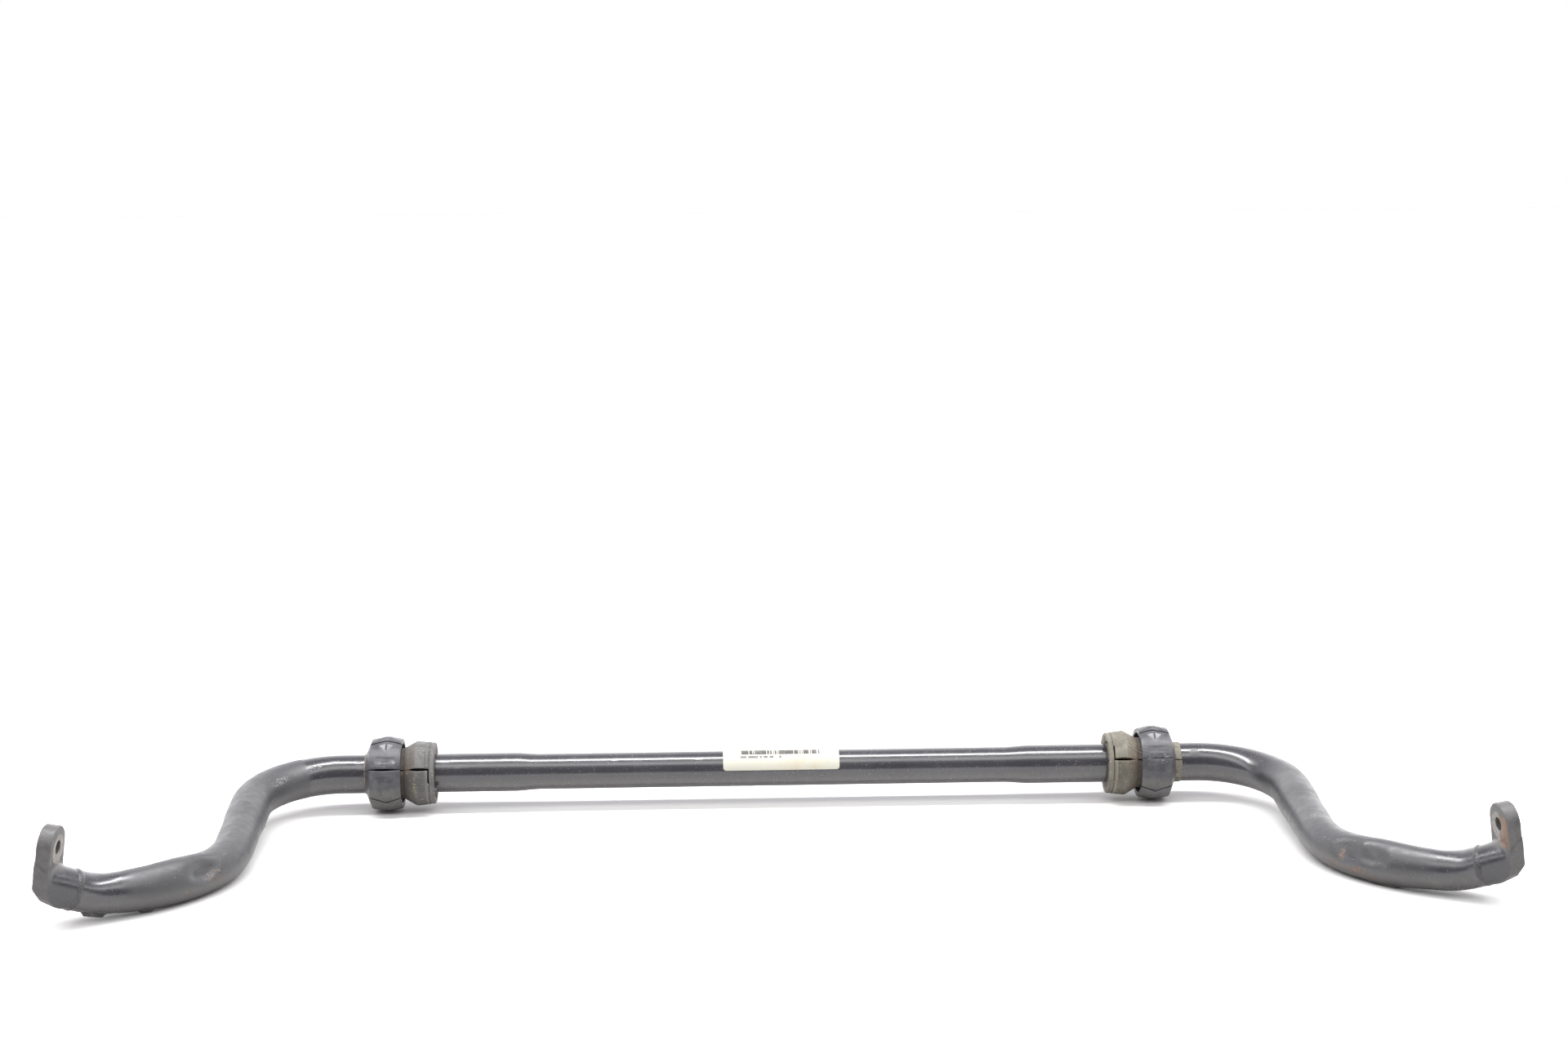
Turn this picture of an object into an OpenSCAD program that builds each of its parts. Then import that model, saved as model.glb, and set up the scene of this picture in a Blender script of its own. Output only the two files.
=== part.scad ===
// Front sway bar (anti-roll bar) with its split bushes, for a passenger car.
// Origin: middle of the torsion axis. +X along the bar to the right, arms towards -Y, +Z up.
// The bar lies as it rests on a flat surface, on the two crown rings and the two arm elbows.

/* [Bar tube] */
// Outside diameter of the middle span
span_od = 30; // [26:0.5:31]
// Outside diameter at the bushes and the first bends
seat_od = 32.5; // [32:0.1:33]
// Outside diameter of the arms
arm_od = 30.4; // [28:0.2:31]
// Wall thickness
wall = 4; // [3:0.25:5]
// Distance from the middle to the start of the first bend
straight_len = 356; // [350:1:362]
// Distance from the middle to the inner end of the swage
swage_start = 193; // [150:1:240]
// Length of the swage cone
swage_len = 23; // [10:1:35]

/* [Arms] */
// Bend radius of the first bend, to the centreline
bend1_r = 67; // [60:1:75]
// Angle of the first bend
bend1_angle = 90.7; // [88:0.1:93]
// Fall of the arm below the bar's own level, as a roll of the first bend
arm_fall = 4.9; // [4:0.1:5.5]
// Straight between the first and the second bend
arm_len = 83; // [75:1:95]
// Bend radius of the second bend
bend2_r = 104; // [95:1:110]
// Angle of the second bend
bend2_angle = 65; // [60:0.5:70]
// Roll from the first bend's plane to the second's
bend2_roll = 186.8; // [183:0.1:190]
// Straight between the second and the third bend
elbow_len = 14; // [8:1:20]
// Bend radius of the third bend
bend3_r = 60; // [55:1:70]
// Angle of the third bend
bend3_angle = 22.5; // [15:0.5:25]
// Roll from the second bend's plane to the third's
bend3_roll = 107.5; // [95:0.5:115]
// Straight from the third bend to the cut end of the tube
tail_len = 7.5; // [5:0.5:12]
// Depth of the pressed flat on each arm
dent_depth = 2.5; // [1:0.5:3]

/* [Link eyes] */
// Diameter of the hole for the drop link's stud
hole_d = 10.2; // [8:0.1:12.2]
// Radius of the eye's round end
eye_r = 16; // [14:0.5:18]
// Thickness of the forged plate
eye_t = 11.5; // [9:0.5:13]
// Sideways place of the hole's centre
hole_x = 528.5; // [526:0.5:531]
// Distance of the hole in front of the torsion axis
hole_reach = 277; // [272:1:282]
// Height of the hole above the torsion axis
hole_z = 31.5; // [30:0.5:35]
// Lean of the plate's top towards the middle of the car
eye_lean = 8.5; // [6:0.5:11]
// Toe of the plate: how far its front edge is turned outwards
eye_toe = 5.5; // [0:0.5:8]

/* [Bushes] */
// Distance between the middles of the two crown rings
bush_pitch = 640; // [600:1:660]
// Diameter over the crown's ridge
crown_d = 62; // [60:0.5:64]
// Diameter over the crown's shoulders
shoulder_d = 57; // [55:0.5:58]
// Largest diameter of the collar
collar_d = 54; // [50:0.5:55]
// Opening of the split line between two shell halves
split_gap = 0.9; // [0.5:0.1:1.5]
// How far the split lines of the crown rings and collars lie above the front
split_angle = 22.5; // [0:0.5:30]
// How far the left bush's liner reaches outwards from the middle of its crown ring
left_liner_out = 19; // [18.5:0.5:24]
// How far the right bush's liner reaches outwards from the middle of its crown ring
right_liner_out = 23.5; // [18.5:0.5:24]

/* [Label] */
// Length of the paper label
label_len = 97; // [60:1:120]
// Height of the paper label, measured round the bar
label_h = 27; // [20:1:35]
// Sideways place of the label's middle
label_x = 7; // [-40:1:40]

/* [Hidden] */
$fn = 64;
EPS = 0.01;

// Colours
PAINT = [0.10, 0.10, 0.12];
FORGED = [0.16, 0.15, 0.15];
WELD = [0.20, 0.19, 0.19];
RUBBER = [0.30, 0.26, 0.21];
SHELL = [0.22, 0.22, 0.24];
DUSTY = [0.48, 0.45, 0.38];
LINER = [0.85, 0.83, 0.76];
PAPER = [0.95, 0.94, 0.88];

// Bar tube
arm_r = arm_od / 2;
bore_r = arm_r - wall;
taper_start = 25;
taper_len = 30;
// How far a bend reaches into its neighbours, how deep below their surfaces it runs, and the
// chamfer at their ends
lap_angle = 0.6;
lap_step = 0.02;
end_chamfer = 0.3;
// One row per step along the arm: straight length, bend radius, bend angle, roll of the bend plane
ARM_STEPS = [[0, bend1_r, bend1_angle, arm_fall],
             [arm_len, bend2_r, bend2_angle, bend2_roll],
             [elbow_len, bend3_r, bend3_angle, bend3_roll],
             [tail_len, 0, 0, 0]];
// The pressed flat: a shallow dish left by a large ball, on the outer side of the second bend
dent_ball_r = 60;
dent_bend_angle = 37;
dent_tilt = 25;

// Link eye
spigot_len = 9;
spigot_gap = 0.1;
stub_len = 40;
plate_drop = 44;
// The cut-off lower corner, as [distance below the hole, distance outwards from mid-plate]
CORNER_CUT = [[28, eye_t / 2 + 5], [28, eye_t / 2], [31.5, 2.5], [36, 0], [39, -1.5], [43, -6],
              [46, -14], [50, -26], [80, -26], [80, eye_t / 2 + 5]];

// End weld
bead_len = 7;
bead_h = 1.2;

// Bush stack, from the bar outwards
running_gap = 0.05;
liner_t = 0.6;
liner_r = seat_od / 2 + running_gap;
rubber_in_r = liner_r + liner_t;
neck_r = 20.9;
rubber_out_r = 24.9;
shell_in_r = 25;
collar_in_r = 21;
rubber_end_r = 17.5;
shell_end_r = 17.8;
collar_face_r = 25.8;
rubber_slit = 3;

// Places along the bush, measured from the middle of the crown ring, + outboard
crown_in = -12.2;
crown_shoulder_out = 12.8;
crown_out = 17.6;
collar_root = -14.6;
collar_edge = -24;
collar_end = -35.4;
ring_end = -39.3;
part_gap = 0.3;
tab_len = 2.4;
tab_w = 8;
tab_angle = 41;

// Label
label_t = 0.25;
label_low_angle = 9;

// ---- helpers ----

// Turns a shape built along Z so that it lies along X
module along_x() { rotate([0, 90, 0]) children(); }

// Right-hand parts as drawn; left-hand parts are the same piece turned over end for end
module on_side(side) {
    if (side == "right") children();
    else rotate([0, 180, 0]) children();
}

// Elevation of a split line, as the piece sees it before it is turned over
function own_angle(side, angle) = side == "right" ? angle : -angle;

function liner_out(side) = side == "right" ? right_liner_out : left_liner_out;

// Part of a ring about the bar, from a profile of [radius, place along the bar].
// The ring starts at the elevation "from" above the front and runs over the top.
module ring_sector(profile, from, sweep) {
    along_x() rotate_extrude(angle = sweep, start = -90 - from - sweep) polygon(profile);
}

// Half of a split ring, above or below the split line at the given elevation
module half_ring(profile, angle, upper) {
    mean_r = (profile[0][0] + profile[1][0]) / 2;
    gap_angle = split_gap / mean_r * 180 / PI;
    from = (upper ? angle : angle - 180) + gap_angle / 2;
    ring_sector(profile, from, 180 - gap_angle);
}

// One bend of a tube, from +Z towards +X. It laps into the straights at both ends, inside their
// walls, so that the pieces join into one solid.
module bend(r, angle, outer_r) {
    translate([r, 0, 0]) rotate([90, 0, 180])
        rotate_extrude(angle = angle + 2 * lap_angle, start = -lap_angle)
            translate([r, 0]) difference() {
                circle(r = outer_r - lap_step);
                circle(r = bore_r + lap_step);
            }
}

// Straight tube along +Z, with chamfered ends. The outline holds its [radius, height] corners.
module straight(outline) {
    c = end_chamfer;
    low = outline[0];
    high = outline[len(outline) - 1];
    rotate_extrude() polygon(concat(
        [[bore_r, low[1] + c], [bore_r + c, low[1]], [low[0] - c, low[1]], [low[0], low[1] + c]],
        [for (i = [1:1:len(outline) - 2]) outline[i]],
        [[high[0], high[1] - c], [high[0] - c, high[1]], [bore_r + c, high[1]], [bore_r, high[1] - c]]));
}

// Moves on from one step's start to the next step's start
module past(step) {
    translate([0, 0, step[0]]) rotate([0, 0, step[3]])
        translate([step[1], 0, 0]) rotate([0, step[2], 0]) translate([-step[1], 0, 0]) children();
}

// Right arm's start: heading +X, with the bend reference towards -Y
module arm_start() {
    translate([straight_len, 0, 0]) rotate([0, 90, 0]) rotate([0, 0, -90]) children();
}

// Right arm's cut end, heading out of the tube along +Z
module arm_end() {
    arm_start() past(ARM_STEPS[0]) past(ARM_STEPS[1]) past(ARM_STEPS[2])
        translate([0, 0, tail_len]) children();
}

// ---- bar ----

// Straight middle of the bar with its two swages
module middle_span() {
    half = [[span_od / 2, swage_start], [seat_od / 2, swage_start + swage_len],
            [seat_od / 2, straight_len]];
    along_x() straight(concat([for (i = [2:-1:0]) [half[i][0], -half[i][1]]], half));
}

// Straight after the first bend, where the seat diameter comes down to the arm diameter
module tapered_straight() {
    straight([[seat_od / 2, 0], [seat_od / 2, taper_start], [arm_r, taper_start + taper_len],
              [arm_r, arm_len]]);
}

module arm_tube() {
    arm_start() {
        rotate([0, 0, ARM_STEPS[0][3]]) bend(bend1_r, bend1_angle, seat_od / 2);
        past(ARM_STEPS[0]) {
            tapered_straight();
            translate([0, 0, arm_len]) rotate([0, 0, bend2_roll])
                bend(bend2_r, bend2_angle, arm_r);
            past(ARM_STEPS[1]) {
                straight([[arm_r, 0], [arm_r, elbow_len]]);
                translate([0, 0, elbow_len]) rotate([0, 0, bend3_roll])
                    bend(bend3_r, bend3_angle, arm_r);
                past(ARM_STEPS[2]) straight([[arm_r, 0], [arm_r, tail_len]]);
            }
        }
    }
}

// Ball that leaves the pressed flat on the right arm
module dent_ball() {
    arm_start() past(ARM_STEPS[0]) past([arm_len, bend2_r, dent_bend_angle, bend2_roll])
        rotate([0, 0, 180 - dent_tilt]) translate([arm_r + dent_ball_r - dent_depth, 0, 0])
            sphere(r = dent_ball_r);
}

module bar_tube() {
    color(PAINT) {
        middle_span();
        for (flip = [0, 1]) mirror([flip, 0, 0]) difference() {
            arm_tube();
            dent_ball();
        }
    }
}

// Frame of the eye: origin at the hole's centre, +Z outwards along the hole, +X down the plate
module eye_frame() {
    translate([hole_x, -hole_reach, hole_z]) rotate([0, 90 - eye_lean, eye_toe]) children();
}

// Forged plate with a round end
module eye_plate() {
    translate([0, 0, -eye_t / 2]) linear_extrude(height = eye_t) {
        circle(r = eye_r);
        translate([0, -eye_r]) square([plate_drop, 2 * eye_r]);
    }
}

// Round stub between the tube's end and the plate, kept inside the plate's outer and front faces
module eye_stub() {
    intersection() {
        arm_end() translate([0, 0, -EPS]) cylinder(h = stub_len, r = arm_r - lap_step);
        eye_frame() translate([-20, -eye_r + 0.1, -60]) cube([100, 60, 60 + eye_t / 2 - 0.5]);
    }
}

module link_eye() {
    difference() {
        union() {
            eye_frame() eye_plate();
            eye_stub();
            arm_end() translate([0, 0, -spigot_len])
                cylinder(h = spigot_len + 1, r = bore_r - spigot_gap);
        }
        eye_frame() {
            cylinder(h = 4 * eye_t, d = hole_d, center = true);
            rotate([90, 0, 0]) linear_extrude(height = 4 * eye_r, center = true)
                polygon(CORNER_CUT);
        }
    }
}

module left_link_eye() { color(FORGED) mirror([1, 0, 0]) link_eye(); }
module right_link_eye() { color(FORGED) link_eye(); }

// Weld bead round the joint between tube and forging
module end_weld() {
    arm_end() translate([0, 0, -bead_len / 2]) rotate_extrude()
        polygon([[arm_r, 0], [arm_r + bead_h, bead_len * 0.3], [arm_r + bead_h, bead_len * 0.7],
                 [arm_r, bead_len]]);
}
module left_end_weld() { color(WELD) mirror([1, 0, 0]) end_weld(); }
module right_end_weld() { color(WELD) end_weld(); }

// ---- bushes ----

// Slit all the way along, so that the piece can be opened and put over the bar
module slit_ring(side, profile) {
    angle = own_angle(side, split_angle);
    on_side(side) translate([bush_pitch / 2, 0, 0])
        ring_sector(profile, angle + rubber_slit / 2, 360 - rubber_slit);
}

module bush_liner(side) {
    slit_ring(side, [[liner_r, ring_end], [rubber_in_r, ring_end], [rubber_in_r, liner_out(side)],
                     [liner_r, liner_out(side)]]);
}
module left_bush_liner() { color(LINER) bush_liner("left"); }
module right_bush_liner() { color(LINER) bush_liner("right"); }

module bush_rubber(side) {
    body_in = crown_in + 6;
    body_out = crown_shoulder_out - 1;
    slit_ring(side, [[rubber_in_r, ring_end], [neck_r, ring_end], [neck_r, body_in],
                     [rubber_out_r, body_in], [rubber_out_r, body_out],
                     [rubber_end_r, crown_out - 2], [rubber_end_r, crown_out],
                     [rubber_in_r, crown_out]]);
}
module left_bush_rubber() { color(RUBBER) bush_rubber("left"); }
module right_bush_rubber() { color(RUBBER) bush_rubber("right"); }

// Crown ring: two shells with a raised ridge round the middle
module crown_half(side, upper) {
    shoulder_r = shoulder_d / 2;
    profile = [[shell_in_r, crown_in], [shoulder_r - 0.5, crown_in], [shoulder_r, crown_in + 0.8],
               [crown_d / 2, 0], [shoulder_r, crown_shoulder_out],
               [shoulder_r - 4, crown_shoulder_out + 2], [shell_end_r, crown_out],
               [shell_end_r, crown_out - 1.5], [shell_in_r, crown_shoulder_out - 0.8]];
    own_upper = (side == "right") == upper;
    on_side(side) translate([bush_pitch / 2, 0, 0])
        half_ring(profile, own_angle(side, split_angle), own_upper);
}
module left_crown_upper() { color(SHELL) crown_half("left", true); }
module left_crown_lower() { color(SHELL) crown_half("left", false); }
module right_crown_upper() { color(SHELL) crown_half("right", true); }
module right_crown_lower() { color(SHELL) crown_half("right", false); }

// Collar beside the crown ring: two halves with a cone towards the neck
module collar_half(side, upper) {
    profile = [[collar_in_r, collar_end], [collar_face_r, collar_end], [collar_d / 2, collar_edge],
               [collar_in_r + 0.8, collar_root], [collar_in_r, collar_root]];
    own_upper = (side == "right") == upper;
    on_side(side) translate([bush_pitch / 2, 0, 0])
        half_ring(profile, own_angle(side, split_angle), own_upper);
}
module left_collar_upper() { color(DUSTY) collar_half("left", true); }
module left_collar_lower() { color(DUSTY) collar_half("left", false); }
module right_collar_upper() { color(DUSTY) collar_half("right", true); }
module right_collar_lower() { color(DUSTY) collar_half("right", false); }

// Stop ring at the inboard end of the collar, with its locating tab
module stop_ring(side) {
    outer_r = collar_face_r - part_gap;
    tab_in_r = collar_in_r + 0.5;
    tab_out_r = outer_r - 0.6;
    tab_sweep = tab_w / outer_r * 180 / PI;
    from = own_angle(side, split_angle) + tab_angle;
    on_side(side) translate([bush_pitch / 2, 0, 0]) {
        along_x() rotate_extrude()
            polygon([[collar_in_r, ring_end], [outer_r - 0.6, ring_end], [outer_r, ring_end + 0.6],
                     [outer_r, collar_end - part_gap], [collar_in_r, collar_end - part_gap]]);
        ring_sector([[tab_in_r, ring_end - tab_len], [tab_out_r, ring_end - tab_len],
                     [tab_out_r, ring_end + 0.5], [tab_in_r, ring_end + 0.5]], from, tab_sweep);
    }
}
module left_stop_ring() { color(DUSTY) stop_ring("left"); }
module right_stop_ring() { color(DUSTY) stop_ring("right"); }

// Paper label wrapped over the top of the middle span
module part_label() {
    in_r = span_od / 2;
    sweep = label_h / in_r * 180 / PI;
    color(PAPER) translate([label_x, 0, 0])
        ring_sector([[in_r, -label_len / 2], [in_r + label_t, -label_len / 2],
                     [in_r + label_t, label_len / 2], [in_r, label_len / 2]], label_low_angle, sweep);
}

bar_tube();
left_link_eye();
right_link_eye();
left_end_weld();
right_end_weld();
left_bush_liner();
right_bush_liner();
left_bush_rubber();
right_bush_rubber();
left_crown_upper();
left_crown_lower();
right_crown_upper();
right_crown_lower();
left_collar_upper();
left_collar_lower();
right_collar_upper();
right_collar_lower();
left_stop_ring();
right_stop_ring();
part_label();
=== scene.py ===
"""Looks of the sway bar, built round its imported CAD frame.

Coordinates are the CAD frame's. Shapes are worked out in millimetres and scaled by MM at the end.
"""
import math

import bmesh
import bpy
import numpy as np
from mathutils import Matrix, Vector


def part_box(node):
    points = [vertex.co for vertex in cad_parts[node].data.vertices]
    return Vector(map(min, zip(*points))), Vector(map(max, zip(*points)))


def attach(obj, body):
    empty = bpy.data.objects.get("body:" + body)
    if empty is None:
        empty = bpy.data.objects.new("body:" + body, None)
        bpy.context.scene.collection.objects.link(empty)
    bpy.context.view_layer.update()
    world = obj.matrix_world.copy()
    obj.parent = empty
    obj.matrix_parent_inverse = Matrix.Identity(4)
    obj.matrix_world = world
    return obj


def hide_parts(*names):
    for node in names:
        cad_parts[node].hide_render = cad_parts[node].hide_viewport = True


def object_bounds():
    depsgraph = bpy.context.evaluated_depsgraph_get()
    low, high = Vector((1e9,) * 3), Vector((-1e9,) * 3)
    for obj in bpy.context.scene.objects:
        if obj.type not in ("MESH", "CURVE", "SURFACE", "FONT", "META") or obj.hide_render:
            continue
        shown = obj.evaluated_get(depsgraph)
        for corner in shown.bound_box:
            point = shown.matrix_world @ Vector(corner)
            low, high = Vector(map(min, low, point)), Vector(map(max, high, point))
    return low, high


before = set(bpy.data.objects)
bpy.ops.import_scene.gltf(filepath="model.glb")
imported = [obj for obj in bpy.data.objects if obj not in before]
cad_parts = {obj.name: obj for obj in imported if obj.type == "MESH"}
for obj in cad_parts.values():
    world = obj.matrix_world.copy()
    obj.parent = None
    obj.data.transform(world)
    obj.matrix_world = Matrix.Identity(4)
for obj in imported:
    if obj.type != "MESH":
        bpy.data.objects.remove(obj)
cad_low, cad_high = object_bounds()

MM = 0.001
SIDES = {"left": -1, "right": 1}

# ---------------- camera and light
CAMERA_AT = (-73.5, -1980.6, 584.6)
# Radians: to the right of straight ahead, below the level, and anticlockwise about the line of sight
CAMERA_YAW, CAMERA_PITCH, CAMERA_ROLL = 0.04230, 0.18705, -0.003013
# Brightness of the room at an angle above the level, over the top from the camera's side to the back
ROOM = ((0, 0.25), (36, 0.25), (44, 1.0), (52, 3.9), (61, 3.9), (69, 1.4), (90, 0.9), (120, 0.75),
        (180, 0.4))
ROOM_PEAK = 3.9
# Tint of the room where it is dimmer than 1
ROOM_DIM = (0.92, 0.88, 1.0)

# ---------------- driving sizes, in mm
# The tube: radius of the span, of the bush seats and of the arms
SPAN_R = 15.0
SEAT_R = 16.25
ARM_R = 15.2
STRAIGHT = 356.0
SWAGE_START, SWAGE_END = 193.0, 216.0
# Where the seat comes down to the arm's radius, from the end of the first bend
TAPER_START, TAPER_END = 25.0, 55.0
ARM_LENGTH = 83.0
# One row per step along an arm: straight, bend radius, bend angle, roll of the bend's plane
ARM_STEPS = ((0.0, 67.0, 90.7, 4.9), (ARM_LENGTH, 104.0, 65.0, 186.8), (14.0, 60.0, 22.5, 107.5))
TAIL = 7.5
BEND1_END = STRAIGHT + ARM_STEPS[0][1] * math.radians(ARM_STEPS[0][2])
ELBOW_START = BEND1_END + ARM_LENGTH
# The link eye: middle of its hole, lean and toe of the plate in degrees, and sizes
EYE_AT = np.array((528.5, -277.0, 31.5))
EYE_LEAN, EYE_TOE = 8.5, 5.5
EYE_R = 15.9
EYE_T = 11.5
PLATE_DROP = 44.0
HOLE_R = 5.1
# Outlines of the plate's lower end and of the stub under it: distance below the hole and outwards
PLATE_CUT = ((28, 5.75), (31.5, 2.5), (34.6, -3))
STUB_CUT = ((34, 1.5), (39, -1.5), (43, -6), (46, -14), (50, -26))
EYE_BLEND = 3.5
GRID_STEP = 0.5
WELD_LEN, WELD_H = 6.0, 0.6
# The second bend's pressed stretch: its middle, how far it reaches, rise of the top, loss at the front
PRESS_AT, PRESS_REACH, PRESS_RISE, PRESS_FLAT = 630.0, 50.0, 3.6, 1.2
# Bushes: middle of each crown ring, elevation of the front split above the front, and sizes
BUSH_X = 320.0
SPLIT = 22.5
# Half the gap of each crown ring's split, and where each liner ends outboard
HALF_GAP = {"left": 0.35, "right": 0.12}
LINER_OUT = {"left": 19.0, "right": 23.5}
# Radii of the bush's layers, from the bar outwards
LINER_IN_R, LINER_R = 16.32, 16.88
RUBBER_IN_R, RUBBER_END_R, NECK_R, RUBBER_R = 16.9, 17.5, 20.9, 24.9
COLLAR_IN_R, COLLAR_FACE_R, COLLAR_R = 21.0, 25.8, 27.0
SHELL_END_R, SHELL_IN_R, SHOULDER_R = 17.8, 25.0, 28.5
RIDGE_H, RIDGE_R = 2.5, 31.0
# Places along the bush from the middle of its crown ring, outboard positive
CROWN_IN, CROWN_SHOULDER, CROWN_OUT = -12.2, 12.8, 17.6
COLLAR_ROOT, COLLAR_EDGE, COLLAR_END = -14.6, -24.0, -35.45
BAND_OUT, RING_END = -35.6, -39.3
# Degrees from the nearer split: where a wing rises and ends, and where the chevron line lies
WING_START, WING_END, CHEVRON = 31.0, 44.0, 55.8
# The stop ring's tab, in degrees from the split
TAB_START, TAB_END = 40.6, 59.4
# Height of the label round the bar, and the elevation of its lower edge in degrees
LABEL_H, LABEL_LOW = 27.0, 9.0
LABEL_CORNER = 2.6
FLOOR_Z = -31.0
# Colours of the dusty plastics: where clean, where dusty, of the stains, and of the collar's cone
LEFT_DUST = ((0.078, 0.076, 0.075), (0.115, 0.112, 0.108), (0.24, 0.21, 0.12), (0.082, 0.070, 0.060))
RIGHT_DUST = ((0.094, 0.086, 0.066), (0.145, 0.135, 0.108), (0.25, 0.20, 0.11), (0.125, 0.105, 0.082))
# Ribs on each neck: elevations of their middles beside the crown ring
RIBS = {"left": (55, 65, 75), "right": (40, 48, 56)}
# Pale scuffs on each crown ring: degrees above the split, and their two places along the bush
SCUFFS = {"left": (12, -5.5, 4.5), "right": (3.6, -5.6, 8.5)}

# ---------------- wear on the arms
# Places are a station along the centreline, in mm from the bar's middle, and an elevation in degrees
# above the front. One row per pressed hollow: station, elevation, half length, half width, depth
HOLLOWS = {"left": ((611, 31, 18, 14, 4.2),),
           "right": ((609, 29, 18, 14, 2.6), (627, 33, 16, 13, 2.2))}
# Lumps of dried paint and dirt under the arms: station, elevation, half length, half width, height
DRIPS = {"left": ((688, -84, 9, 4.5, 2.4), (653, -76, 6.5, 3.5, 1.6)),
         "right": ((634, -76, 15, 3.0, 1.4),)}
# Marks on each arm: mask, station, elevation, half length, half width, strength
# The left wear mark at 384 is a painted highlight; grime over the pressed hollows is painted shade.
MARKS = {
    "left": (("rust", 603, 2, 11, 8, 0.62), ("rust", 628, -24, 4, 4, 0.8),
             ("rust", 620, -20, 4, 3, 0.6), ("dust", 628, 18, 16, 10, 0.55),
             ("dust", 590, 60, 22, 10, 0.5), ("wear_and_highlight", 427, 34, 20, 5, 0.55),
             ("wear_and_highlight", 384, 46, 12, 3, 0.5), ("grime_and_hollow_shade", 444, 10, 18, 4, 1.0),
             ("grime_and_hollow_shade", 610, 26, 15, 11, 1.0)),
    "right": (("rust", 603, 14, 4, 11, 0.8), ("rust", 596, -28, 12, 6, 0.7),
              ("rust", 617, -26, 16, 7, 0.8), ("rust", 628, -46, 12, 4, 0.7),
              ("rust", 653, 30, 3, 3, 0.6), ("rust", 659, 44, 2, 2, 0.6),
              ("dust", 633, 12, 13, 9, 0.55), ("dust", 590, 50, 26, 12, 0.4),
              ("dust", 655, 25, 14, 8, 0.4), ("wear_and_highlight", 552, 78, 12, 10, 0.42),
              ("grime_and_hollow_shade", 616, 35, 20, 10, 1.0), ("grime_and_hollow_shade", 355, 42, 8, 8, 0.8)),
}
# The satin film on each arm: where it starts, how softly, how strong it is, and what is left of it
# where the gloss comes back
SATIN = {"left": (389, 5, 1.0, 0.05), "right": (400, 60, 0.75, 0.30)}
SATIN_END, SATIN_FADE = 655, 26
# How far apart the two halves of the bar are in the noise, so that they wear differently
NOISE_APART = 500.0


# ---------------- camera
def placed(name, data):
    """A new object in the scene."""
    thing = bpy.data.objects.new(name, data)
    bpy.context.scene.collection.objects.link(thing)
    return thing


def add_camera():
    """At the photograph's viewing angle: a little left of the middle, looking slightly down."""
    yaw, pitch, roll = CAMERA_YAW, CAMERA_PITCH, CAMERA_ROLL
    level = Vector((math.sin(yaw), math.cos(yaw), 0))
    side = Vector((math.cos(yaw), -math.sin(yaw), 0))
    ahead = level * math.cos(pitch) - Vector((0, 0, math.sin(pitch)))
    up = level * math.sin(pitch) + Vector((0, 0, math.cos(pitch)))
    right = side * math.cos(roll) + up * math.sin(roll)
    top = up * math.cos(roll) - side * math.sin(roll)
    data = bpy.data.cameras.new("camera")
    data.sensor_width = 36.0
    data.lens = 56.25
    camera = placed("camera", data)
    turn = Matrix((right, top, -ahead)).transposed()
    camera.matrix_world = Matrix.Translation(Vector(CAMERA_AT) * MM) @ turn.to_4x4()
    bpy.context.scene.camera = camera


# ---------------- small numeric tools
def smooth(t):
    """0 to 1 with level ends, for t from 0 to 1."""
    t = np.clip(t, 0, 1)
    return t * t * (3 - 2 * t)


def bump(distance, reach):
    """1 at the middle, fading to 0 at reach."""
    return smooth(1 - np.abs(distance) / reach)


def unit(v):
    return v / np.linalg.norm(v, axis=-1, keepdims=True)


LATTICE = 32
_lattices = {}


def lumps(points, size, seed):
    """Smooth noise from -1 to 1 at points in mm, with features of about the given size."""
    if seed not in _lattices:
        _lattices[seed] = np.random.default_rng(seed).uniform(-1, 1, (LATTICE,) * 3)
    table = _lattices[seed]
    q = np.asarray(points, float) / size
    cell = np.floor(q).astype(int)
    f = smooth(q - cell)
    total = 0
    for corner in np.ndindex(2, 2, 2):
        weight = 1
        for axis in range(3):
            weight = weight * (f[..., axis] if corner[axis] else 1 - f[..., axis])
        at = (cell + np.array(corner)) % LATTICE
        total = total + weight * table[at[..., 0], at[..., 1], at[..., 2]]
    return total


def rounded(corners, radius, spacing):
    """Points round a polygon in 2D, its corners rounded, at about the given spacing."""
    corners = [np.array(corner, float) for corner in corners]
    count = len(corners)
    path = []
    for i, corner in enumerate(corners):
        before, after = corners[i - 1] - corner, corners[(i + 1) % count] - corner
        near, far = np.linalg.norm(before), np.linalg.norm(after)
        reach = min(radius, 0.4 * near, 0.4 * far)
        a, b = corner + before / near * reach, corner + after / far * reach
        for t in (0, 0.25, 0.5, 0.75, 1):
            path.append((1 - t) ** 2 * a + 2 * t * (1 - t) * corner + t * t * b)
    path.append(path[0])
    points = []
    for a, b in zip(path, path[1:]):
        steps = max(1, int(round(np.linalg.norm(b - a) / spacing)))
        points += [a + (b - a) * k / steps for k in range(steps)]
    return np.array(points)


# ---------------- mesh tools
def make_piece(name, points, faces, body, nodes, material, masks=None, sharp=35):
    """A piece in the row frame from points in mm, which rides on a body and stands for CAD nodes."""
    mesh = bpy.data.meshes.new(name)
    mesh.from_pydata((np.asarray(points) * MM).tolist(), [], faces)
    bm = bmesh.new()
    bm.from_mesh(mesh)
    bmesh.ops.recalc_face_normals(bm, faces=bm.faces)
    bm.to_mesh(mesh)
    bm.free()
    mesh.shade_smooth()
    mesh.set_sharp_from_angle(angle=math.radians(sharp))
    for mask, values in (masks or {}).items():
        layer = mesh.attributes.new(mask, "FLOAT", "POINT")
        layer.data.foreach_set("value", np.clip(values, 0, 1).astype(np.float32).ravel())
    mesh.materials.append(material)
    piece = placed(name, mesh)
    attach(piece, body)
    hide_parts(*nodes)


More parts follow.
